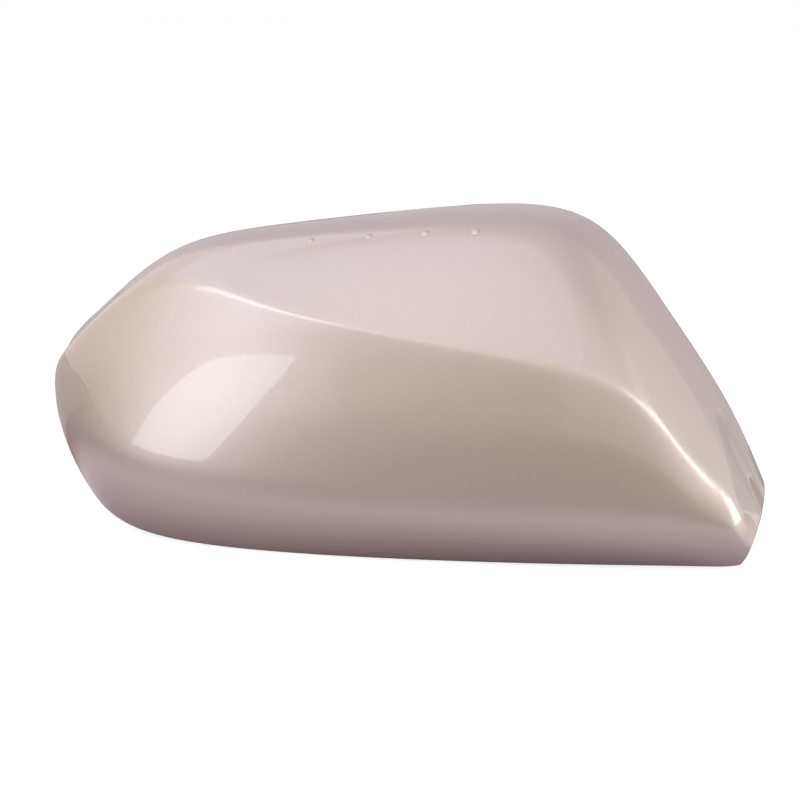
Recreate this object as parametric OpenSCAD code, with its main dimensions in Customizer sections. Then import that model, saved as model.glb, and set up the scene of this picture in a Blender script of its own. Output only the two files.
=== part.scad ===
/* [Shell] */
// Length of the cover, from the outer tip to the end beside the car
shell_w = 262; // [200:0.5:300]
// Depth of the cover, from its nose to its rear rim
shell_d = 76; // [60:1:100]
// Height of the cover, from its lower rim to its roof
shell_h = 116.5; // [95:0.5:150]
// Thickness of the moulded wall
wall = 2.5; // [1.6:0.1:3]

/* [Styling edges] */
// Reach of the rounding along the roof edge
roof_round = 10; // [6:0.5:13]
// Reach of the rounding along the sharp part of the crease
crease_round = 2; // [1.4:0.2:6]
// Reach of the rounding where the crease fades into the outer end
crease_fade = 17; // [12:1:22]
// Reach of the rounding between the face and the lower band
shoulder_round = 5.5; // [4:0.5:12]
// Reach of the rounding between the lower band and the underside
foot_round = 3; // [2:0.5:6]
// Extra reach of the roundings on the inside of the wall
inner_ease = 3; // [2:0.5:5]
// Crown of the faces, as a share of each face's height
face_crown = 0.045; // [0:0.005:0.06]

/* [Air-flow pips] */
// Diameter of the first pip, towards the outer end
pip_d = 2.2; // [1.6:0.1:3.5]
// Growth in diameter from one pip to the next
pip_growth = 0.2; // [0:0.1:0.5]
// Height of a pip above the paint
pip_rise = 0.5; // [0.3:0.1:1]
// Number of pips
pip_count = 4; // [1:1:5]

/* [Locating pins] */
// Diameter of a locating pin
pin_d = 6; // [4:0.5:9]
// Depth of the pin tips, behind the nose of the cover
pin_tip_y = 56; // [48:1:64]
// Length of the chamfer on the pin tip
pin_chamfer = 1; // [0.5:0.1:1.5]
// Diameter of the boss that a pin stands on
boss_d = 9; // [7:0.5:12]
// Reach of the fins round a boss, from its axis
fin_reach = 9; // [6:0.5:12]
// Depth of the boss and fin tips, behind the nose of the cover
boss_tip_y = 36; // [28:1:44]

/* [Snap hooks] */
// Width of a snap hook
hook_w = 11; // [7:0.5:16]
// Thickness of a hook's tongue
hook_t = 2.2; // [1.6:0.1:3]
// Depth of the hook tips, behind the nose of the cover
hook_tip_y = 52; // [44:1:62]
// Height of the barb over the tongue
barb_h = 2; // [1:0.1:3]
// Length of the barb with its lead-in slope
barb_len = 6; // [4:0.5:9]
// Height of the stiffening web behind a tongue, at the wall
web_h = 9; // [5:0.5:12]

/* [Ribs and tabs] */
// Thickness of the ribs and webs
rib_t = 1.4; // [1:0.1:2]
// Height of the ribs over the inside of the wall
rib_h = 4; // [2:0.5:7]
// Width of the tabs on the rear rim
tab_w = 14; // [8:1:20]
// Reach of the tabs past the rear rim
tab_reach = 3.5; // [2:0.5:5]
// Overlap of a tab on the inside of the wall, in front of the rim
tab_root = 9; // [6:0.5:12]

/* [Hidden] */

// Facets along the cover between two guide points, and across it between two rows
steps_along = 6;
steps_across = 2;

// Each guide curve runs from the outer tip round the nose to the end beside the car, and
// each point is a control point of a B-spline. The curves are scaled to the shell's sizes.
rear_top = [[-135, 77, 63], [-129.5, 77, 70], [-114, 77, 82], [-94, 77.5, 100.8],
    [-54, 78, 107.5], [0, 78, 114.5], [40, 78, 118.3], [64, 77, 110.5], [84, 75, 82.5],
    [109, 71, 48.5], [121, 67, 21.5]];
roof_edge = [[-137.5, 76.5, 57.5], [-132, 60, 62], [-111, 47, 81.5], [-87, 41, 100.5],
    [-52, 35, 107], [0, 33, 112.8], [40, 33, 115], [63, 38, 109], [82, 46, 83],
    [109, 52, 45.5], [122, 57, 17.5]];
crease = [[-139.5, 76.5, 51.5], [-137, 59, 55], [-121, 38, 70], [-84, 29, 99.5],
    [-50, 12, 86.5], [0, 7, 79], [50, 5, 72], [84, 7.5, 65.5], [100, 10.5, 39.5],
    [114.5, 17, 28], [121.5, 28, 9]];
shoulder = [[-140, 76.5, 46.5], [-138, 60, 46], [-122.5, 34.5, 37.5], [-97, 16, 29.5],
    [-50, 5.5, 26.5], [0, 1.5, 23], [50, 1.5, 24], [86, 4.5, 22], [105, 8.5, 20.5],
    [116.5, 14.5, 16], [120.5, 25.5, 6.5]];
belly = [[-138, 76, 36], [-134, 58, 30], [-119, 36.5, 19], [-94, 20, 10.5],
    [-50, 9, 9.5], [0, 5.5, 9], [50, 6, 9], [86, 9.5, 8.5], [106, 13.5, 8],
    [116, 19, 6.5], [119, 26.5, 3.5]];
foot = [[-130, 75, 25], [-128, 62, 19], [-117, 46, 7], [-95, 30, 0],
    [-50, 16, 0], [0, 14.5, 0], [50, 18, 0], [86, 23.5, 0], [104, 26, 0],
    [113.5, 27, 0], [116.5, 31, 0]];
lip = [[-125.5, 76.5, 20.5], [-122, 69, 13], [-109, 58, 4], [-90, 50, 0],
    [-50, 45, 0], [0, 43, 0], [50, 43, 0], [86, 44, 0], [104, 45, 0],
    [112, 46, 0], [114, 47, 0]];
guides = [rear_top, roof_edge, crease, shoulder, belly, foot, lip];
last = len(rear_top) - 1;

// Places along the cover, from 0 at the outer tip to 1 beside the car, and rows across it
pip_first = 0.433;
pip_step = 0.043;
pip_row = 3.2;
rib_places = [0.26, 0.38, 0.5, 0.6, 0.7, 0.8];
tab_places = [0.36, 0.5, 0.62];
rib_rows = [1, 13];
last_row = 20;
pins = [[0.42, 9.3], [0.68, 9.6]];
hooks = [[0.34, 5.6, 1], [0.55, 5.2, 1], [0.67, 5.4, 1],
    [0.32, 10.2, -1], [0.54, 10.6, -1], [0.76, 10.2, -1]];
plate_steps = 6;
pip_sink = 1.2;
fin_drop = 1;

function unit(v) = v / norm(v);

// Point at share t of a uniform cubic B-spline that starts and ends on its end points
function spline(p, t) =
    let (n = len(p) - 1, s = min(max(t, 0), 1) * n, i = min(floor(s), n - 1), f = s - i,
        before = i == 0 ? 2 * p[0] - p[1] : p[i - 1],
        after = i == n - 1 ? 2 * p[n] - p[n - 1] : p[i + 2])
    (pow(1 - f, 3) * before + (3 * pow(f, 3) - 6 * f * f + 4) * p[i]
        + (-3 * pow(f, 3) + 3 * f * f + 3 * f + 1) * p[i + 1] + pow(f, 3) * after) / 6;

// Size of the guide curves as they are drawn
curve_points = [for (g = guides, i = [0:last]) spline(g, i / last)];
function span(v) = max(v) - min(v);
guide_size = [span([for (p = curve_points) p.x]), span([for (p = curve_points) p.y]),
    span([for (p = curve_points) p.z])];

// Guide points at share u along the cover, at the size that was asked for
function guide_points(u) =
    [for (g = guides) let (p = spline(g, u))
        [p.x * shell_w / guide_size.x, p.y * shell_d / guide_size.y, p.z * shell_h / guide_size.z]];

// Reach of the rounding at each guide; the crease is soft at the outer end
crease_reach = [for (i = [0:last])
    i < 3 ? crease_fade : i == 3 ? (crease_fade + 2 * crease_round) / 3 : crease_round];
function reaches(u, ease) =
    [0, roof_round, spline(crease_reach, u) + ease, shoulder_round, 0, foot_round + ease, 0];

// A face bulges outwards between two guides by its crown; the underside is flat
function on_face(a, b, bulge, t) = a + (b - a) * t + bulge * 4 * t * (1 - t);

// Control rows of the section at u: each rounded guide has a row before and after it
function section_rows(u, ease = 0) =
    let (q = guide_points(u), r = reaches(u, ease), core = (q[0] + q[6]) / 2)
    [q[0], for (k = [0:5])
        let (a = q[k], b = q[k + 1], d = unit(b - a), m = (a + b) / 2 - core,
            bulge = k == 5 ? [0, 0, 0] : unit(m - (m * d) * d) * face_crown * norm(b - a),
            ta = min(r[k] / norm(b - a), 0.3), tb = min(r[k + 1] / norm(b - a), 0.3))
        each [if (r[k] > 0) on_face(a, b, bulge, ta), on_face(a, b, bulge, 0.5),
            if (r[k + 1] > 0) on_face(a, b, bulge, 1 - tb), b]];

// Point of the painted surface, and the direction out of it
function skin(u, row) = spline(section_rows(u), row / last_row);
function skin_out(u, row) =
    let (e = 0.002, ua = max(u - e, 0), ub = min(u + e, 1),
        ra = max(row - 0.02, 0), rb = min(row + 0.02, last_row))
    unit(cross(skin(u, rb) - skin(u, ra), skin(ub, row) - skin(ua, row)));

// Depth y of the middle of the wall at x and z, by Newton's steps from a nearby place
function place_at(x, z, u, row, steps) =
    steps == 0 ? [u, row] :
    let (e = 0.001, p = skin(u, row), pu = (skin(u + e, row) - p) / e,
        pr = (skin(u, row + e) - p) / e, det = pu.x * pr.z - pr.x * pu.z,
        dx = x - p.x, dz = z - p.z)
    place_at(x, z, u + (dx * pr.z - dz * pr.x) / det,
        row + (pu.x * dz - pu.z * dx) / det, steps - 1);
function wall_y(x, z, near) =
    let (at = place_at(x, z, near[0], near[1], 5), n = skin_out(at[0], at[1]))
    skin(at[0], at[1]).y - wall / 2 / n.y;

// Grid of points of the painted surface, station by station
along_count = last * steps_along;
across_count = last_row * steps_across;
function skin_grid(ease) = [for (i = [0:along_count])
    let (rows = section_rows(i / along_count, ease))
    [for (j = [0:across_count]) spline(rows, j / across_count)]];
grid = skin_grid(0);

// Inside of the wall. It follows the skin with softer edges, so that it never folds over
// itself, and the rear rim is trimmed in one plane.
soft_grid = skin_grid(inner_ease);
function grid_out(i, j) =
    unit(cross(soft_grid[i][min(j + 1, across_count)] - soft_grid[i][max(j - 1, 0)],
        soft_grid[min(i + 1, along_count)][j] - soft_grid[max(i - 1, 0)][j]));
function inner_point(i, j) =
    let (p = soft_grid[i][j] - wall * grid_out(i, j)) j == 0 ? [p.x, grid[i][j].y, p.z] : p;
inner_grid = [for (i = [0:along_count]) [for (j = [0:across_count]) inner_point(i, j)]];

// The part's own frame starts below the middle of its box, on the level of the underside
box_x = [for (row = grid, p = row) p.x];
box_y = [for (row = grid, p = row) p.y];
tab_tips = [for (u = tab_places) skin(u, 0).y + tab_reach];
origin = [(min(box_x) + max(box_x)) / 2, (min(box_y) + max(tab_tips)) / 2, 0];

// Two triangles for the four corners a, b, c, d
function quad(a, b, c, d) = [[a, c, b], [a, d, c]];

module shell() {
    cols = across_count + 1;
    size = (along_count + 1) * cols;
    function at(i, j) = i * cols + j;
    points = [each for (row = grid) row, each for (row = inner_grid) row];
    skins = [for (i = [0:along_count - 1], j = [0:across_count - 1])
        each concat(
            quad(at(i, j), at(i, j + 1), at(i + 1, j + 1), at(i + 1, j)),
            quad(size + at(i, j), size + at(i + 1, j), size + at(i + 1, j + 1),
                size + at(i, j + 1)))];
    long_rims = [for (i = [0:along_count - 1])
        each concat(
            quad(at(i, 0), at(i + 1, 0), size + at(i + 1, 0), size + at(i, 0)),
            quad(at(i + 1, across_count), at(i, across_count),
                size + at(i, across_count), size + at(i + 1, across_count)))];
    end_rims = [for (j = [0:across_count - 1])
        each concat(
            quad(at(0, j + 1), at(0, j), size + at(0, j), size + at(0, j + 1)),
            quad(at(along_count, j), at(along_count, j + 1),
                size + at(along_count, j + 1), size + at(along_count, j)))];
    polyhedron(points, concat(skins, long_rims, end_rims));
}

// A block with two end rings of four points each
module block(ring_a, ring_b) {
    polyhedron(concat(ring_a, ring_b),
        [[0, 1, 2, 3], [7, 6, 5, 4], [0, 4, 5, 1], [1, 5, 6, 2], [2, 6, 7, 3], [3, 7, 4, 0]]);
}

// Rib across the inside at u: a fin that follows the section between two rows
module section_rib(u, row_a, row_b, count) {
    rings = [for (k = [0:count])
        let (row = row_a + (row_b - row_a) * k / count, p = skin(u, row),
            n = skin_out(u, row), side = [rib_t / 2, 0, 0],
            foot_at = p - n * wall / 2, top_at = p - n * (wall + rib_h))
        each [foot_at - side, foot_at + side, top_at + side, top_at - side]];
    sides = [for (k = [0:count - 1], s = [0:3])
        each quad(4 * k + s, 4 * k + 4 + s, 4 * k + 4 + (s + 1) % 4, 4 * k + (s + 1) % 4)];
    end = 4 * count;
    polyhedron(rings, concat(sides, [[3, 2, 1, 0], [end, end + 1, end + 2, end + 3]]));
}

// Plate that stands on the wall at the point at, from s_a to s_b along x, or along z if it is
// upright. Its foot follows the middle of the wall, and far lists its other corners.
module plate(near, at, upright, s_a, s_b, thick, far) {
    foot_line = [for (k = [0:plate_steps]) let (s = s_a + (s_b - s_a) * k / plate_steps)
        [s, wall_y(at.x + (upright ? 0 : s), at.z + (upright ? s : 0), near)]];
    translate([at.x, 0, at.z]) rotate([0, upright ? -90 : 0, 0])
        linear_extrude(thick, center = true) polygon(concat(foot_line, far));
}

module shell_pips() {
    for (k = [0:pip_count - 1]) {
        u = pip_first + k * pip_step;
        n = skin_out(u, pip_row);
        r = (pip_d + k * pip_growth) / 2;
        ball = (r * r + pip_rise * pip_rise) / (2 * pip_rise);
        translate(skin(u, pip_row)) rotate([0, acos(n.z), atan2(n.y, n.x)]) intersection() {
            translate([0, 0, pip_rise - ball]) sphere(ball);
            translate([0, 0, -pip_sink]) cylinder(h = pip_sink + pip_rise, r = r);
        }
    }
}

module locating_pin(at) {
    p = skin(at[0], at[1]);
    start = wall_y(p.x, p.z, at);
    translate([p.x, 0, p.z]) rotate([-90, 0, 0]) {
        translate([0, 0, start]) cylinder(h = boss_tip_y - start, d = boss_d);
        translate([0, 0, boss_tip_y - 1])
            cylinder(h = pin_tip_y - pin_chamfer - boss_tip_y + 1, d = pin_d);
        translate([0, 0, pin_tip_y - pin_chamfer])
            cylinder(h = pin_chamfer, d1 = pin_d, d2 = pin_d - 2 * pin_chamfer);
    }
    fin_tip_y = boss_tip_y - fin_drop;
    for (upright = [false, true])
        plate(at, p, upright, -fin_reach, fin_reach, rib_t,
            [[fin_reach, fin_tip_y], [-fin_reach, fin_tip_y]]);
}

// Snap hook: a tongue that runs back from the wall, with a barb on its outer side
// and a tapering web behind it
module snap_hook(at, up) {
    p = skin(at[0], at[1]);
    plate(at, p, false, -hook_w / 2, hook_w / 2, hook_t,
        [[hook_w / 2, hook_tip_y], [-hook_w / 2, hook_tip_y]]);
    translate([p.x - hook_w / 2, hook_tip_y, p.z]) rotate([90, 0, 90])
        linear_extrude(hook_w)
            polygon([[0, 0], [0, up * hook_t / 2], [-barb_len / 2, up * (hook_t / 2 + barb_h)],
                [-barb_len, up * (hook_t / 2 + barb_h)], [-barb_len, 0]]);
    plate(at, p, true, 0, -up * web_h, rib_t,
        [[-up * hook_t / 2, hook_tip_y - barb_len], [0, hook_tip_y - barb_len]]);
}

// Thin tab that carries the wall's inner half past the rear rim
module rim_tab(u) {
    p = skin(u, 0);
    n = skin_out(u, 0);
    across = unit(skin(u + 0.01, 0) - skin(u - 0.01, 0)) * tab_w / 2;
    outer = p - n * wall * 0.4;
    inner = p - n * (wall + 0.8);
    ring = [outer - across, outer + across, inner + across, inner - across];
    block([for (c = ring) [c.x, p.y - tab_root, c.z]], [for (c = ring) [c.x, p.y + tab_reach, c.z]]);
}

module mirror_cover() {
    color([0.76, 0.69, 0.66]) translate(-origin) union() {
        shell();
        shell_pips();
        for (u = rib_places) section_rib(u, rib_rows[0], rib_rows[1], 18);
        for (at = pins) locating_pin(at);
        for (h = hooks) snap_hook([h[0], h[1]], h[2]);
        for (u = tab_places) rim_tab(u);
    }
}

mirror_cover();
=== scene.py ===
import math

import bmesh
import bpy
import numpy as np
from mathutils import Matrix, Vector
from mathutils.bvhtree import BVHTree


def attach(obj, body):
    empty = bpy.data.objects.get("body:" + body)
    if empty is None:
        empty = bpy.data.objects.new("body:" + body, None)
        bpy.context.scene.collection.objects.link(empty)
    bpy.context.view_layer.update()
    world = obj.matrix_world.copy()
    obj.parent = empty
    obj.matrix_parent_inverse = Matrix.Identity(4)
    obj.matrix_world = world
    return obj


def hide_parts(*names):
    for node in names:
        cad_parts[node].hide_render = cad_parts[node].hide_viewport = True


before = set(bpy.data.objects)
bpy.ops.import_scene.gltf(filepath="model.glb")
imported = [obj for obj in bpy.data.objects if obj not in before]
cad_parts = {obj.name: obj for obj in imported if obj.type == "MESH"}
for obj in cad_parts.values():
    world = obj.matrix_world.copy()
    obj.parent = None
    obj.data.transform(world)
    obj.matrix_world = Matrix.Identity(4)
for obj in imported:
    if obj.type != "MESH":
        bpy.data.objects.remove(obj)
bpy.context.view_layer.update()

# The painted shell. The real one is injection-moulded ABS, 2.5 mm thick, sprayed with a metallic
# base coat under clear coat on the outside. Seven styling lines run from the outer tip round the
# nose to the end beside the car, and every cross-section is a smooth curve over them.
MM = 0.001
SHELL_SIZE = (262, 76, 116.5)
WALL = 2.5
ROOF_ROUND, SHOULDER_ROUND, FOOT_ROUND = 10, 5.5, 3
CREASE_ROUND = [17, 17, 17, 7, 2, 2, 2.5, 4, 5, 5, 5]
LARGEST_ROUND_SHARE = 0.3
INNER_EASE = 3
FACE_CROWN = 0.045
REAR_TOP = [(-135, 77, 63), (-129.5, 77, 70), (-114, 77, 82), (-94, 77.5, 100.8), (-54, 78, 107.5),
            (0, 78, 114.5), (40, 78, 118.3), (64, 77, 110.5), (84, 75, 82.5), (109, 71, 48.5),
            (121, 67, 21.5)]
ROOF_EDGE = [(-137.5, 76.5, 57.5), (-132, 60, 62), (-111, 47, 81.5), (-87, 41, 100.5),
             (-52, 35, 107), (0, 33, 112.8), (40, 33, 115), (63, 38, 109), (82, 46, 83),
             (109, 52, 45.5), (122, 57, 17.5)]
CREASE = [(-139.5, 76.5, 51.5), (-137, 59, 55), (-121, 38, 70), (-84, 29, 99.5), (-50, 12, 86.5),
          (0, 7, 79), (50, 5, 72), (84, 7.5, 65.5), (100, 10.5, 39.5), (114.5, 17, 28),
          (121.5, 28, 9)]
SHOULDER = [(-140, 76.5, 46.5), (-138, 60, 46), (-122.5, 34.5, 37.5), (-97, 16, 29.5),
            (-50, 5.5, 26.5), (0, 1.5, 23), (50, 1.5, 24), (86, 4.5, 22), (105, 8.5, 20.5),
            (116.5, 14.5, 16), (120.5, 25.5, 6.5)]
BELLY = [(-138, 76, 36), (-134, 58, 30), (-119, 36.5, 19), (-94, 20, 10.5), (-50, 9, 9.5),
         (0, 5.5, 9), (50, 6, 9), (86, 9.5, 8.5), (106, 13.5, 8), (116, 19, 6.5), (119, 26.5, 3.5)]
FOOT = [(-130, 75, 25), (-128, 62, 19), (-117, 46, 7), (-95, 30, 0), (-50, 16, 0), (0, 14.5, 0),
        (50, 18, 0), (86, 23.5, 0), (104, 26, 0), (113.5, 27, 0), (116.5, 31, 0)]
LIP = [(-125.5, 76.5, 20.5), (-122, 69, 13), (-109, 58, 4), (-90, 50, 0), (-50, 45, 0), (0, 43, 0),
       (50, 43, 0), (86, 44, 0), (104, 45, 0), (112, 46, 0), (114, 47, 0)]
LAST_ROW = 20
# The lines are drawn from the nose; the part's frame starts below the middle of its box
DRAWN_ORIGIN = np.array([-8.771, 41.4303, 0])
STATIONS, ROWS = 260, 140
RIM_ROUND, RIM_SOFT = 0.5, 0.3
# How far off the neighbours lie that give the direction out of the surface at one point
NEARBY = 0.002


def spline(points, share):
    """Points at the given shares of a uniform B-spline that starts and ends on its end points."""
    points = np.asarray(points, float)
    padded = np.concatenate([[2 * points[0] - points[1]], points, [2 * points[-1] - points[-2]]])
    spans = len(points) - 1
    place = np.clip(np.asarray(share, float), 0, 1) * spans
    i = np.minimum(place.astype(int), spans - 1)
    f = (place - i).reshape((-1,) + (1,) * (points.ndim - 1))
    return ((1 - f) ** 3 * padded[i] + (3 * f**3 - 6 * f**2 + 4) * padded[i + 1]
            + (-3 * f**3 + 3 * f**2 + 3 * f + 1) * padded[i + 2] + f**3 * padded[i + 3]) / 6


def unit(v):
    return v / np.linalg.norm(v, axis=-1, keepdims=True)


styling_lines = [np.array(line, float)
                 for line in (REAR_TOP, ROOF_EDGE, CREASE, SHOULDER, BELLY, FOOT, LIP)]
on_lines = np.concatenate([spline(line, np.linspace(0, 1, len(line))) for line in styling_lines])
styling_lines = [line * SHELL_SIZE / np.ptp(on_lines, axis=0) for line in styling_lines]


def section_rows(along, ease=0):
    """Control rows of the cross-sections at the given places along the cover."""
    line = [spline(points, along) for points in styling_lines]
    crease_reach = spline(np.array(CREASE_ROUND, float)[:, None], along) + ease
    reach = [0, ROOF_ROUND, crease_reach, SHOULDER_ROUND, 0, FOOT_ROUND + ease, 0]
    core = (line[0] + line[6]) / 2
    rows = [line[0]]
    for k in range(6):
        a, b = line[k], line[k + 1]
        span = np.linalg.norm(b - a, axis=1, keepdims=True)
        way = (b - a) / span
        lever = (a + b) / 2 - core
        bulge = unit(lever - (lever * way).sum(1, keepdims=True) * way) * span * FACE_CROWN * (k < 5)

        def on_face(t):
            return a + (b - a) * t + bulge * 4 * t * (1 - t)

        if np.any(reach[k]):
            rows.append(on_face(np.minimum(reach[k] / span, LARGEST_ROUND_SHARE)))
        rows.append(on_face(0.5))
        if np.any(reach[k + 1]):
            rows.append(on_face(1 - np.minimum(reach[k + 1] / span, LARGEST_ROUND_SHARE)))
        rows.append(b)
    return np.stack(rows)


def skin_grid(along, across, ease=0):
    """Points of the painted surface, in drawn millimetres, for lists of places and rows."""
    sections = section_rows(along, ease).transpose(1, 0, 2)
    return np.stack([spline(rows, np.asarray(across) / (len(rows) - 1)) for rows in sections])


def grid_out(grid):
    """Direction out of the surface at every grid point."""
    return unit(np.cross(np.gradient(grid, axis=1), np.gradient(grid, axis=0)))


def skin_at(along, row):
    """One point of the painted surface and the direction out of it, in drawn millimetres."""
    patch = skin_grid([along - NEARBY, along, along + NEARBY], [row - 10 * NEARBY, row, row + 10 * NEARBY])
    return patch[1, 1], grid_out(patch)[1, 1]


def placed(drawn):
    """Drawn millimetres to the part's own frame in metres."""
    return (np.asarray(drawn) - DRAWN_ORIGIN) * MM


def add_piece(name, vertices, faces, smooth=True):
    mesh = bpy.data.meshes.new(name)
    mesh.from_pydata([tuple(v) for v in vertices], [], [tuple(int(i) for i in f) for f in faces])
    mesh.update()
    piece = bpy.data.objects.new(name, mesh)
    bpy.context.collection.objects.link(piece)
    for polygon in mesh.polygons:
        polygon.use_smooth = smooth
    return piece


stations, rows = np.linspace(0, 1, STATIONS + 1), np.linspace(0, LAST_ROW, ROWS + 1)
outside = skin_grid(stations, rows)
softer = skin_grid(stations, rows, INNER_EASE)
inside = softer - WALL * grid_out(softer)
inside[:, 0, 1] = outside[:, 0, 1]

cols = ROWS + 1
size = (STATIONS + 1) * cols
loop = ([(i, 0) for i in range(STATIONS)] + [(STATIONS, j) for j in range(ROWS)]
        + [(i, ROWS) for i in range(STATIONS, 0, -1)] + [(0, j) for j in range(ROWS, 0, -1)])
rim_rings = [[], [], [], []]
for i, j in loop:
    i_in, j_in = min(max(i, 1), STATIONS - 1), min(max(j, 1), ROWS - 1)
    step = outside[i, j] - outside[i_in, j_in]
    beyond, back = unit(step), min(RIM_ROUND, 0.6 * np.linalg.norm(step))
    thick = inside[i, j] - outside[i, j]
    share = back / np.linalg.norm(thick)
    rim_rings[0].append(outside[i, j] - RIM_SOFT * back * beyond + RIM_SOFT * share * thick)
    rim_rings[1].append(outside[i, j] + share * thick)
    rim_rings[2].append(inside[i, j] - share * thick)
    rim_rings[3].append(inside[i, j] - RIM_SOFT * back * beyond - RIM_SOFT * share * thick)
    outside[i, j] -= back * beyond
    inside[i, j] -= back * beyond

i, j = np.meshgrid(np.arange(STATIONS), np.arange(ROWS), indexing="ij")
corner = (i * cols + j).ravel()
outer_faces = np.stack([corner, corner + 1, corner + cols + 1, corner + cols], 1)
inner_faces = size + outer_faces[:, ::-1]
around = len(loop)
outer_loop = np.array([i * cols + j for i, j in loop])
rings = [outer_loop, *(2 * size + k * around + np.arange(around) for k in range(4)), size + outer_loop]
rim_faces = np.concatenate([np.stack([a, np.roll(a, -1), np.roll(b, -1), b], 1)
                            for a, b in zip(rings, rings[1:])])
shell = add_piece(
    "cover_shell",
    placed(np.concatenate([outside.reshape(-1, 3), inside.reshape(-1, 3), np.concatenate(rim_rings)])),
    np.concatenate([outer_faces, inner_faces, rim_faces]),
)
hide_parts("mirror_cover")
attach(shell, "root")

PAINT = (0.62, 0.54, 0.508)
FLAKE_CONTRAST = 0.09


def shader(name):
    material = bpy.data.materials.new(name)
    material.use_nodes = True
    nodes = material.node_tree.nodes
    return material, nodes, material.node_tree.links, nodes["Principled BSDF"]


paint, nodes, links, coat = shader("champagne_paint")
coat.inputs["Metallic"].default_value = 0.75
coat.inputs["Roughness"].default_value = 0.42
coat.inputs["Coat Weight"].default_value = 1.0
coat.inputs["Coat Roughness"].default_value = 0.03
coat.inputs["Coat IOR"].default_value = 1.5
where = nodes.new("ShaderNodeTexCoord")
flakes = nodes.new("ShaderNodeTexNoise")
flakes.inputs["Scale"].default_value = 2200
flakes.inputs["Detail"].default_value = 1
links.new(where.outputs["Object"], flakes.inputs["Vector"])
tone = nodes.new("ShaderNodeMixRGB")
tone.inputs["Color1"].default_value = (*((1 - FLAKE_CONTRAST) * c for c in PAINT), 1)
tone.inputs["Color2"].default_value = (*((1 + FLAKE_CONTRAST) * c for c in PAINT), 1)
links.new(flakes.outputs["Fac"], tone.inputs["Fac"])
links.new(tone.outputs["Color"], coat.inputs["Base Color"])
shell.data.materials.append(paint)

# Where no paint lands the moulding is bare dark-grey ABS; spray drifts a few millimetres round
# the rim and thins out over the inside of the wall.
OVERSPRAY_FADE = 7
from_rim = np.minimum.reduce([
    np.linalg.norm(inside - inside[:, :1], axis=2), np.linalg.norm(inside - inside[:, -1:], axis=2),
    np.linalg.norm(inside - inside[:1], axis=2), np.linalg.norm(inside - inside[-1:], axis=2)])
spray = np.concatenate([np.ones(size), np.clip(1 - from_rim.ravel() / OVERSPRAY_FADE, 0, 1),
                        np.ones(4 * around)])
spray_layer = shell.data.attributes.new("spray", "FLOAT", "POINT")
spray_layer.data.foreach_set("value", spray.astype(np.float32))

bare, nodes, links, plastic = shader("bare_moulding")
plastic.inputs["Roughness"].default_value = 0.5
where = nodes.new("ShaderNodeTexCoord")
grain = nodes.new("ShaderNodeTexNoise")
grain.inputs["Scale"].default_value = 1600
grain.inputs["Detail"].default_value = 3
links.new(where.outputs["Object"], grain.inputs["Vector"])
skin_bump = nodes.new("ShaderNodeBump")
skin_bump.inputs["Strength"].default_value = 0.25
skin_bump.inputs["Distance"].default_value = 0.0001
links.new(grain.outputs["Fac"], skin_bump.inputs["Height"])
links.new(skin_bump.outputs["Normal"], plastic.inputs["Normal"])
drift = nodes.new("ShaderNodeAttribute")
drift.attribute_name = "spray"
speckle = nodes.new("ShaderNodeMath")
speckle.operation = "MULTIPLY_ADD"
links.new(grain.outputs["Fac"], speckle.inputs[0])
speckle.inputs[1].default_value = 0.9
speckle.inputs[2].default_value = -0.75
edge = nodes.new("ShaderNodeMath")
links.new(drift.outputs["Fac"], edge.inputs[0])
links.new(speckle.outputs[0], edge.inputs[1])
cover_share = nodes.new("ShaderNodeMapRange")
cover_share.inputs["From Min"].default_value = 0.1
cover_share.inputs["From Max"].default_value = 0.55
links.new(edge.outputs[0], cover_share.inputs["Value"])
tint = nodes.new("ShaderNodeMixRGB")
tint.inputs["Color1"].default_value = (0.05, 0.05, 0.053, 1)
tint.inputs["Color2"].default_value = (*PAINT, 1)
links.new(cover_share.outputs[0], tint.inputs["Fac"])
links.new(tint.outputs["Color"], plastic.inputs["Base Color"])
shell.data.materials.append(bare)
for polygon in shell.data.polygons[len(outer_faces):len(outer_faces) + len(inner_faces)]:
    polygon.material_index = 1

# Four tiny pips stand in a row just under the roof edge, moulded with the shell and painted over.
# They break up the airflow, and each is a little larger than the one before it.
PIP_FIRST, PIP_STEP, PIP_ROW = 0.433, 0.043, 3.2
PIP_D, PIP_GROWTH, PIP_RISE, PIP_SIDES = 2.2, 0.2, 0.5, 24
PIP_PROFILE = [(0, 1), (0.3, 0.93), (0.55, 0.74), (0.76, 0.48), (0.92, 0.22), (1.05, 0.05), (1.2, -0.06)]
pip_points, pip_faces = [], []
for k in range(4):
    foot, up = skin_at(PIP_FIRST + k * PIP_STEP, PIP_ROW)
    side = unit(np.cross(up, [0, 0, 1]))
    other = np.cross(up, side)
    radius = (PIP_D + k * PIP_GROWTH) / 2
    start = len(pip_points)
    pip_points.append(foot + up * PIP_RISE)
    for reach, height in PIP_PROFILE[1:]:
        for a in np.arange(PIP_SIDES) * math.tau / PIP_SIDES:
            pip_points.append(foot + radius * reach * (side * math.cos(a) + other * math.sin(a))
                              + up * PIP_RISE * height)
    pip_faces += [(start, start + 1 + a, start + 1 + (a + 1) % PIP_SIDES) for a in range(PIP_SIDES)]
    for ring in range(len(PIP_PROFILE) - 2):
        low = start + 1 + ring * PIP_SIDES
        high = low + PIP_SIDES
        pip_faces += [(low + a, high + a, high + (a + 1) % PIP_SIDES, low + (a + 1) % PIP_SIDES)
                      for a in range(PIP_SIDES)]
pips = add_piece("air_flow_pips", placed(pip_points), pip_faces)
pips.data.materials.append(paint)
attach(pips, "root")

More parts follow.
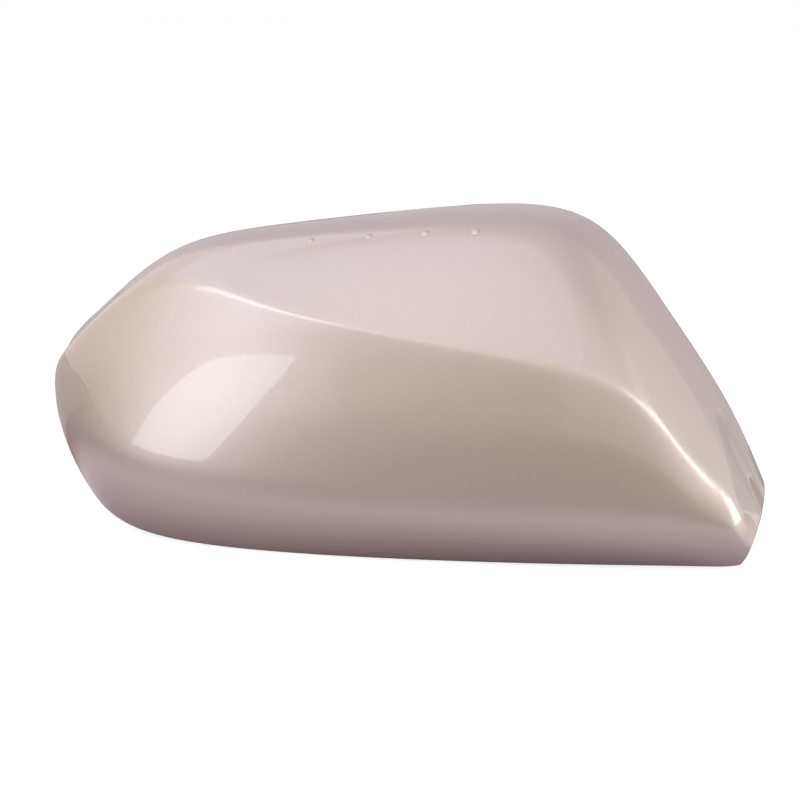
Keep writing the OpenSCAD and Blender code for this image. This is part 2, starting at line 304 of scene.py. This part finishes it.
# Ribs of the same moulding follow the cross-section on the inside and stop the thin wall from
# drumming. They are 1.4 mm thick at the foot and thinner towards a rounded top.
RIB_PLACES = [0.26, 0.38, 0.5, 0.6, 0.7, 0.8]
RIB_T, RIB_H, RIB_STEPS = 1.4, 4, 48
RIB_FROM, RIB_TO, RIB_RUN_OUT, RIB_LOW_END = 1, 13, 0.5, 0.25
RIB_PROFILE = [(-0.5, 0), (-0.42, 0.9), (-0.28, 0.985), (0, 1), (0.28, 0.985), (0.42, 0.9), (0.5, 0)]
rib_points, rib_faces = [], []
for place in RIB_PLACES:
    start, wide = len(rib_points), len(RIB_PROFILE)
    rows = np.linspace(RIB_FROM, RIB_TO, RIB_STEPS + 1)
    patch = skin_grid([place - NEARBY, place, place + NEARBY], rows)
    for foot, up, row in zip(patch[1], grid_out(patch)[1], rows):
        ease = min(1, (row - RIB_FROM) / RIB_RUN_OUT, (RIB_TO - row) / RIB_RUN_OUT)
        tall = RIB_H * (RIB_LOW_END + (1 - RIB_LOW_END) * ease)
        for aside, height in RIB_PROFILE:
            deep = WALL / 2 + (WALL / 2 + tall) * height
            rib_points.append(foot - up * deep + np.array([aside * RIB_T, 0, 0]))
    for k in range(RIB_STEPS):
        low, high = start + k * wide, start + (k + 1) * wide
        rib_faces += [(low + a, high + a, high + a + 1, low + a + 1) for a in range(wide - 1)]
    rib_faces.append(tuple(start + a for a in range(wide)))
    rib_faces.append(tuple(start + RIB_STEPS * wide + a for a in reversed(range(wide))))
ribs = add_piece("inner_ribs", placed(rib_points), rib_faces)
ribs.data.materials.append(bare)
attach(ribs, "root")

# Two locating pins stand on bosses with four fins each. They enter holes in the mirror housing
# and place the cover before the hooks snap in. They are moulded with the shell.
PINS = [(0.42, 9.3), (0.68, 9.6)]
PIN_D, PIN_TIP_Y, PIN_CHAMFER, PIN_SIDES = 6, 56, 1, 48
BOSS_D, BOSS_TIP_Y, FIN_REACH, FIN_TIP_Y = 9, 36, 9, 35
BEHIND_COVER = 200
EDGE_ROUND = 0.3


def rounded_block(piece_points, piece_faces, ring_a, ring_b, edge=EDGE_ROUND):
    """Adds a block between two rings of corners, with every edge rounded."""
    block = bmesh.new()
    a = [block.verts.new(v) for v in ring_a]
    b = [block.verts.new(v) for v in ring_b]
    n = len(a)
    block.faces.new(a)
    block.faces.new(b[::-1])
    for k in range(n):
        block.faces.new((a[k], b[k], b[(k + 1) % n], a[(k + 1) % n]))
    bmesh.ops.recalc_face_normals(block, faces=block.faces[:])
    bmesh.ops.bevel(block, geom=block.edges[:], offset=edge, segments=2, affect="EDGES", profile=0.5)
    block.verts.index_update()
    start = len(piece_points)
    piece_points += [np.array(v.co) for v in block.verts]
    piece_faces += [tuple(start + v.index for v in f.verts) for f in block.faces]
    block.free()


drawn_inside = [tuple(p) for p in inside.reshape(-1, 3)]
wall_tree = BVHTree.FromPolygons(drawn_inside, [tuple(int(v) - size for v in f) for f in inner_faces])


def wall_y(x, z):
    """Depth of the middle of the wall behind the cover's nose, at one place seen from behind."""
    hit = wall_tree.ray_cast(Vector((x, BEHIND_COVER, z)), Vector((0, -1, 0)))[0]
    return hit.y - WALL / 2


def plate(points, faces, x, z, upright, s_a, s_b, thick, far):
    """A plate that stands on the wall, from s_a to s_b along x, or along z if it is upright."""
    foot_line = [(s, wall_y(x, z + s) if upright else wall_y(x + s, z)) for s in np.linspace(s_a, s_b, 7)]
    sides = [[(x + t, y, z + s) if upright else (x + s, y, z + t) for s, y in foot_line + far]
             for t in (-thick / 2, thick / 2)]
    rounded_block(points, faces, *sides)


pin_points, pin_faces = [], []
for place, row in PINS:
    x, _, z = skin_at(place, row)[0]
    wall, boss, pin = wall_y(x, z), BOSS_D / 2, PIN_D / 2
    profile = [(boss + 1.2, wall + 1), (boss + 0.3, wall + 2.2), (boss, wall + 3.5),
               (boss, BOSS_TIP_Y - 0.4), (boss - 0.4, BOSS_TIP_Y), (pin + 0.35, BOSS_TIP_Y),
               (pin, BOSS_TIP_Y + 0.35), (pin, PIN_TIP_Y - PIN_CHAMFER),
               (pin - PIN_CHAMFER, PIN_TIP_Y), (0.01, PIN_TIP_Y)]
    start = len(pin_points)
    for radius, y in profile:
        for a in np.arange(PIN_SIDES) * math.tau / PIN_SIDES:
            pin_points.append(np.array([x + radius * math.cos(a), y, z + radius * math.sin(a)]))
    for ring in range(len(profile) - 1):
        low = start + ring * PIN_SIDES
        high = low + PIN_SIDES
        pin_faces += [(low + a, high + a, high + (a + 1) % PIN_SIDES, low + (a + 1) % PIN_SIDES)
                      for a in range(PIN_SIDES)]
    for upright in (False, True):
        plate(pin_points, pin_faces, x, z, upright, -FIN_REACH, FIN_REACH, RIB_T,
              [(FIN_REACH, FIN_TIP_Y), (-FIN_REACH, FIN_TIP_Y)])
pins = add_piece("locating_pins", placed(pin_points), pin_faces, smooth=False)
pins.data.materials.append(bare)
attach(pins, "root")

# Six snap hooks run back from the wall: a springy tongue with a barb that catches behind the
# housing's edge, and a tapering web that stiffens its foot. Same shot of ABS as the shell.
HOOKS = [(0.34, 5.6, 1), (0.55, 5.2, 1), (0.67, 5.4, 1), (0.32, 10.2, -1), (0.54, 10.6, -1),
         (0.76, 10.2, -1)]
HOOK_W, HOOK_T, HOOK_TIP_Y, WEB_H = 11, 2.2, 52, 9
BARB_H, BARB_LEN, BARB_ROUND = 2, 6, 0.25
hook_points, hook_faces = [], []
for place, row, up in HOOKS:
    x, _, z = skin_at(place, row)[0]
    plate(hook_points, hook_faces, x, z, False, -HOOK_W / 2, HOOK_W / 2, HOOK_T,
          [(HOOK_W / 2, HOOK_TIP_Y), (-HOOK_W / 2, HOOK_TIP_Y)])
    barb = [(0, 0), (0, HOOK_T / 2), (-BARB_LEN / 2, HOOK_T / 2 + BARB_H),
            (-BARB_LEN, HOOK_T / 2 + BARB_H), (-BARB_LEN, 0)]
    rounded_block(hook_points, hook_faces,
                  [(x - HOOK_W / 2, HOOK_TIP_Y + y, z + up * h) for y, h in barb],
                  [(x + HOOK_W / 2, HOOK_TIP_Y + y, z + up * h) for y, h in barb], BARB_ROUND)
    plate(hook_points, hook_faces, x, z, True, 0, -up * WEB_H, RIB_T,
          [(-up * HOOK_T / 2, HOOK_TIP_Y - BARB_LEN), (0, HOOK_TIP_Y - BARB_LEN)])
hooks = add_piece("snap_hooks", placed(hook_points), hook_faces, smooth=False)
hooks.data.materials.append(bare)
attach(hooks, "root")

# Three thin tabs carry the inner half of the wall past the rear rim and slide under the edge of
# the mirror's rear housing.
TAB_PLACES = [0.36, 0.5, 0.62]
TAB_W, TAB_ROOT, TAB_REACH = 14, 9, 3.5
TAB_TOP, TAB_FOOT = 0.4 * WALL, WALL + 0.8
tab_points, tab_faces = [], []
for place in TAB_PLACES:
    up = skin_at(place, 0.05)[1]
    before, spot, after = skin_grid([place - 0.01, place, place + 0.01], [0])[:, 0]
    across = unit(after - before) * TAB_W / 2
    outer, inner = spot - up * TAB_TOP, spot - up * TAB_FOOT
    ring = [outer - across, outer + across, inner + across, inner - across]
    rounded_block(tab_points, tab_faces, [(c[0], spot[1] - TAB_ROOT, c[2]) for c in ring],
                  [(c[0], spot[1] + TAB_REACH, c[2]) for c in ring])
tabs = add_piece("rim_tabs", placed(tab_points), tab_faces, smooth=False)
tabs.data.materials.append(bare)
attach(tabs, "root")

# The studio floor. The camera sees it white with the cover's shadow. The cover sees a darker sheet
# of painted shade, with a faint painted oval of glowing light around itself that stays dim close to the
# cover, which the lower band of the paint mirrors.
FLOOR_REACH, FLOOR_Z = 3, -0.0003
OVAL_MIDDLE_X, OVAL_REACH_X, OVAL_REACH_Y = 0.01, 0.5, 0.19
OVAL_GLOW = [(0.12, (0.05, 0.05, 0.05)), (0.17, (0.1, 0.08, 0.11)), (0.22, (0.14, 0.12, 0.16)),
             (0.28, (0.3, 0.26, 0.33)), (0.36, (0.46, 0.43, 0.5)), (0.52, (0, 0, 0))]
floor = add_piece("floor", [(x * FLOOR_REACH, y * FLOOR_REACH, FLOOR_Z)
                            for x, y in ((-1, -1), (1, -1), (1, 1), (-1, 1))], [(0, 1, 2, 3)])
floor_paint = bpy.data.materials.new("pale floor")
floor_paint.use_nodes = True
nodes, links = floor_paint.node_tree.nodes, floor_paint.node_tree.links
nodes.clear()
ray = nodes.new("ShaderNodeLightPath")
pale = nodes.new("ShaderNodeBsdfDiffuse")
pale.inputs["Color"].default_value = (0.5, 0.5, 0.5, 1)
white = nodes.new("ShaderNodeEmission")
white.inputs["Strength"].default_value = 0.82
for_camera = nodes.new("ShaderNodeAddShader")
links.new(pale.outputs[0], for_camera.inputs[0])
links.new(white.outputs[0], for_camera.inputs[1])
# Painted shade: for every ray but the camera's the floor is a darker sheet.
dark = nodes.new("ShaderNodeBsdfDiffuse")
dark.inputs["Color"].default_value = (0.27, 0.22, 0.2, 1)
where = nodes.new("ShaderNodeTexCoord")
oval = nodes.new("ShaderNodeMapping")
oval.inputs["Location"].default_value = (-OVAL_MIDDLE_X / OVAL_REACH_X, 0, 0)
oval.inputs["Scale"].default_value = (1 / OVAL_REACH_X, 1 / OVAL_REACH_Y, 0)
links.new(where.outputs["Object"], oval.inputs["Vector"])
away = nodes.new("ShaderNodeVectorMath")
away.operation = "LENGTH"
links.new(oval.outputs[0], away.inputs[0])
ring_glow = nodes.new("ShaderNodeValToRGB")
first, last = ring_glow.color_ramp.elements
for stop, (position, colour) in ((first, OVAL_GLOW[0]), (last, OVAL_GLOW[-1])):
    stop.position, stop.color = position, (*colour, 1)
for position, colour in OVAL_GLOW[1:-1]:
    ring_glow.color_ramp.elements.new(position).color = (*colour, 1)
links.new(away.outputs["Value"], ring_glow.inputs["Fac"])
# Painted light: the oval glows on the floor for every ray but the camera's, so the cover mirrors it.
sheet = nodes.new("ShaderNodeEmission")
links.new(ring_glow.outputs["Color"], sheet.inputs["Color"])
for_cover = nodes.new("ShaderNodeAddShader")
links.new(dark.outputs[0], for_cover.inputs[0])
links.new(sheet.outputs[0], for_cover.inputs[1])
pick = nodes.new("ShaderNodeMixShader")
links.new(ray.outputs["Is Camera Ray"], pick.inputs["Fac"])
links.new(for_cover.outputs[0], pick.inputs[1])
links.new(for_camera.outputs[0], pick.inputs[2])
surface = nodes.new("ShaderNodeOutputMaterial")
links.new(pick.outputs[0], surface.inputs["Surface"])
floor.data.materials.append(floor_paint)

# The world is white to the camera and in mirror reflections, and lights the rest with a dim,
# nearly neutral grey.
world = bpy.context.scene.world or bpy.data.worlds.new("studio")
bpy.context.scene.world = world
world.use_nodes = True
nodes, links = world.node_tree.nodes, world.node_tree.links
nodes.clear()
ray = nodes.new("ShaderNodeLightPath")
dim = nodes.new("ShaderNodeBackground")
dim.inputs["Color"].default_value = (0.9, 0.88, 0.9, 1)
dim.inputs["Strength"].default_value = 0.35
white = nodes.new("ShaderNodeBackground")
white.inputs["Color"].default_value = (1, 1, 1, 1)
white.inputs["Strength"].default_value = 1
camera_or_mirror = nodes.new("ShaderNodeMath")
camera_or_mirror.operation = "MAXIMUM"
links.new(ray.outputs["Is Camera Ray"], camera_or_mirror.inputs[0])
links.new(ray.outputs["Is Glossy Ray"], camera_or_mirror.inputs[1])
any_direct = nodes.new("ShaderNodeMath")
any_direct.operation = "MAXIMUM"
links.new(camera_or_mirror.outputs[0], any_direct.inputs[0])
links.new(ray.outputs["Is Transmission Ray"], any_direct.inputs[1])
pick = nodes.new("ShaderNodeMixShader")
links.new(any_direct.outputs[0], pick.inputs["Fac"])
links.new(dim.outputs[0], pick.inputs[1])
links.new(white.outputs[0], pick.inputs[2])
surface = nodes.new("ShaderNodeOutputWorld")
links.new(pick.outputs[0], surface.inputs["Surface"])

# A cloth tent stands round the cover, in panels of different brightness. The paint mirrors them:
# a grey front, a bright upper left, and a narrow bright strip at the right that lines the crease.
TENT_R, TENT_MIDDLE_Z, PANEL_STEP = 2.6, 0.06, 8


def direction(azimuth, elevation):
    """Unit vector from the cover: azimuth 0 is straight ahead of its nose, positive towards the car."""
    a, e = math.radians(azimuth), math.radians(elevation)
    return Vector((math.sin(a) * math.cos(e), -math.cos(a) * math.cos(e), math.sin(e)))


def glow(name, colour, strength):
    material = bpy.data.materials.new(name)
    material.use_nodes = True
    tree = material.node_tree
    tree.nodes.clear()
    emit = tree.nodes.new("ShaderNodeEmission")
    emit.inputs["Color"].default_value = (*colour, 1)
    emit.inputs["Strength"].default_value = strength
    surface = tree.nodes.new("ShaderNodeOutputMaterial")
    tree.links.new(emit.outputs[0], surface.inputs["Surface"])
    return material


def tent_panel(name, azimuths, elevations, colour, strength=1):
    """Panel of the tent between two azimuths and two elevations, which the camera doesn't see."""
    columns = max(2, int((azimuths[1] - azimuths[0]) / PANEL_STEP))
    rows = max(1, int((elevations[1] - elevations[0]) / PANEL_STEP))
    points = [Vector((0, 0, TENT_MIDDLE_Z)) + TENT_R * direction(azimuth, elevation)
              for elevation in np.linspace(*elevations, rows + 1)
              for azimuth in np.linspace(*azimuths, columns + 1)]
    faces = []
    for row in range(rows):
        for column in range(columns):
            low, high = row * (columns + 1) + column, (row + 1) * (columns + 1) + column
            faces.append((low, low + 1, high + 1, high))
    panel = add_piece(name, points, faces)
    panel.visible_camera = False
    panel.data.materials.append(glow(name, colour, strength))


tent_panel("front_low", (-22, 0), (-1, 11), (0.42, 0.3, 0.14))
tent_panel("front_low_right", (0, 34), (-1, 11), (0.9, 0.75, 0.6))
tent_panel("front_high", (-22, 0), (11, 27), (0.68, 0.63, 0.62))
tent_panel("front_high_right", (0, 34), (11, 27), (0.96, 0.93, 0.92))
tent_panel("front_right", (34, 52), (-1, 22), (1, 0.92, 0.86))
tent_panel("front_strip", (-22, 34), (27, 42), (1, 0.926, 0.787), 1.08)
tent_panel("left_near", (-62, -22), (-1, 13), (0.8, 0.77, 0.66))
tent_panel("left_low", (-62, -22), (13, 27), (0.845, 0.88, 1), 1.42)
tent_panel("left_high", (-62, -22), (27, 42), (0.914, 0.971, 1), 3.5)
tent_panel("left_far", (-100, -62), (-1, 42), (0.95, 0.85, 0.71))
tent_panel("left_side", (-150, -100), (-1, 42), (0.92, 0.82, 0.8))
tent_panel("right_low", (52, 112), (-1, 9), (0.6, 0.56, 0.52))
tent_panel("right_near", (52, 84), (9, 22), (0.62, 0.58, 0.54))
tent_panel("right_middle", (84, 104), (9, 19), (0.6, 0.56, 0.52))
tent_panel("crease_light_top", (34, 56), (22, 33), (1, 1, 0.98), 3.5)
tent_panel("crease_light_high", (56, 84), (22, 33), (1, 1, 0.98), 4.5)
tent_panel("crease_light", (84, 104), (19, 33), (1, 1, 0.98), 4.5)
tent_panel("crease_light_middle", (104, 125), (9, 16), (1, 1, 0.98), 4)
tent_panel("crease_light_low", (112, 137), (-1, 9), (1, 1, 0.98), 4)
tent_panel("right_far", (104, 125), (16, 33), (0.6, 0.57, 0.54))
tent_panel("right_high", (34, 125), (33, 42), (0.6, 0.57, 0.54))
tent_panel("right_wall", (125, 150), (9, 42), (0.76, 0.7, 0.68))
tent_panel("right_foot", (137, 150), (-1, 9), (0.76, 0.7, 0.68))
tent_panel("rear_low", (150, 158), (-1, 6), (0.26, 0.32, 0.29))
tent_panel("rear_right", (150, 158), (6, 42), (0.54, 0.48, 0.51))
tent_panel("rear_wall", (158, 180), (-1, 42), (0.54, 0.48, 0.51))
tent_panel("rear_left", (180, 210), (-1, 42), (0.58, 0.52, 0.55))
tent_panel("roof_front", (-70, 70), (42, 64), (0.77, 0.72, 0.69))
tent_panel("roof_left", (-150, -70), (42, 64), (0.913, 0.929, 1), 1.27)
tent_panel("roof_right", (70, 150), (42, 64), (0.6, 0.54, 0.58))
tent_panel("roof_rear", (150, 210), (42, 64), (0.68, 0.62, 0.68))
tent_panel("ceiling", (-180, 180), (64, 89), (0.76, 0.67, 0.66))

# A slanted softbox at the left runs down into a white card on the floor; together they make the
# long patch of light on the outer quarter. A dimmer card behind them tones the rim at that end.
CARD_Z = 0.002
CARDS = [
    ("left_softbox",
     [(-1.15, -0.6, CARD_Z), (-0.75, -1.01, CARD_Z), (-0.57, -1.09, 0.28), (-0.91, -0.84, 0.27)],
     (0.9, 0.93, 1), 3.65),
    ("white_card",
     [(-1.15, -0.6, CARD_Z), (-0.225, -0.23, CARD_Z), (-0.75, -1.01, CARD_Z)],
     (0.9, 0.93, 1), 3.65),
    ("back_card",
     [(-1.8, 0.1, CARD_Z), (-0.15, 0.1, CARD_Z), (-0.15, 2.4, CARD_Z), (-1.8, 2.4, CARD_Z)],
     (1, 0.88, 0.86), 0.5),
]
for name, corners, colour, strength in CARDS:
    cloth = add_piece(name, corners, [tuple(range(len(corners)))])
    cloth.visible_camera = False
    cloth.data.materials.append(glow(name, colour, strength))

# One cool lamp in a wide softbox hangs overhead, a little to the left and in front. It gives the
# soft shadow on the floor and the light on the roof.
OVERHEAD_PLACE = Vector((-0.2, -0.5, 1.3))
lamp = bpy.data.lights.new("overhead softbox", "AREA")
lamp.shape = "RECTANGLE"
lamp.size, lamp.size_y = 1.4, 0.9
lamp.energy = 2.3
lamp.color = (0.6, 0.72, 0.94)
overhead = bpy.data.objects.new("overhead softbox", lamp)
bpy.context.collection.objects.link(overhead)
overhead.location = OVERHEAD_PLACE
to_cover = Vector((0, 0, TENT_MIDDLE_Z)) - OVERHEAD_PLACE
overhead.rotation_euler = to_cover.to_track_quat("-Z", "Y").to_euler()

# The camera stands 1.1 m away, 12 degrees round towards the car and 10 degrees above. One pixel
# of the 800 shows 0.3465 mm of the cover.
AIM = Vector(placed((0, 35, 57.5)))
CAMERA_DISTANCE, CAMERA_AZIMUTH, CAMERA_ELEVATION = 1.1, 12, 10
PIXELS, MM_A_PIXEL, SHIFT_PIXELS = 800, 0.3465, (-8, -15)
forward = -direction(CAMERA_AZIMUTH, CAMERA_ELEVATION)
camera_data = bpy.data.cameras.new("camera")
camera_data.sensor_width = 36
camera_data.lens = camera_data.sensor_width * CAMERA_DISTANCE / (PIXELS * MM_A_PIXEL * MM)
camera_data.shift_x, camera_data.shift_y = (shift / PIXELS for shift in SHIFT_PIXELS)
camera = bpy.data.objects.new("camera", camera_data)
bpy.context.collection.objects.link(camera)
camera.location = AIM - forward * CAMERA_DISTANCE
camera.rotation_euler = forward.to_track_quat("-Z", "Y").to_euler()
bpy.context.scene.camera = camera
bpy.context.scene.view_settings.view_transform = "Standard"
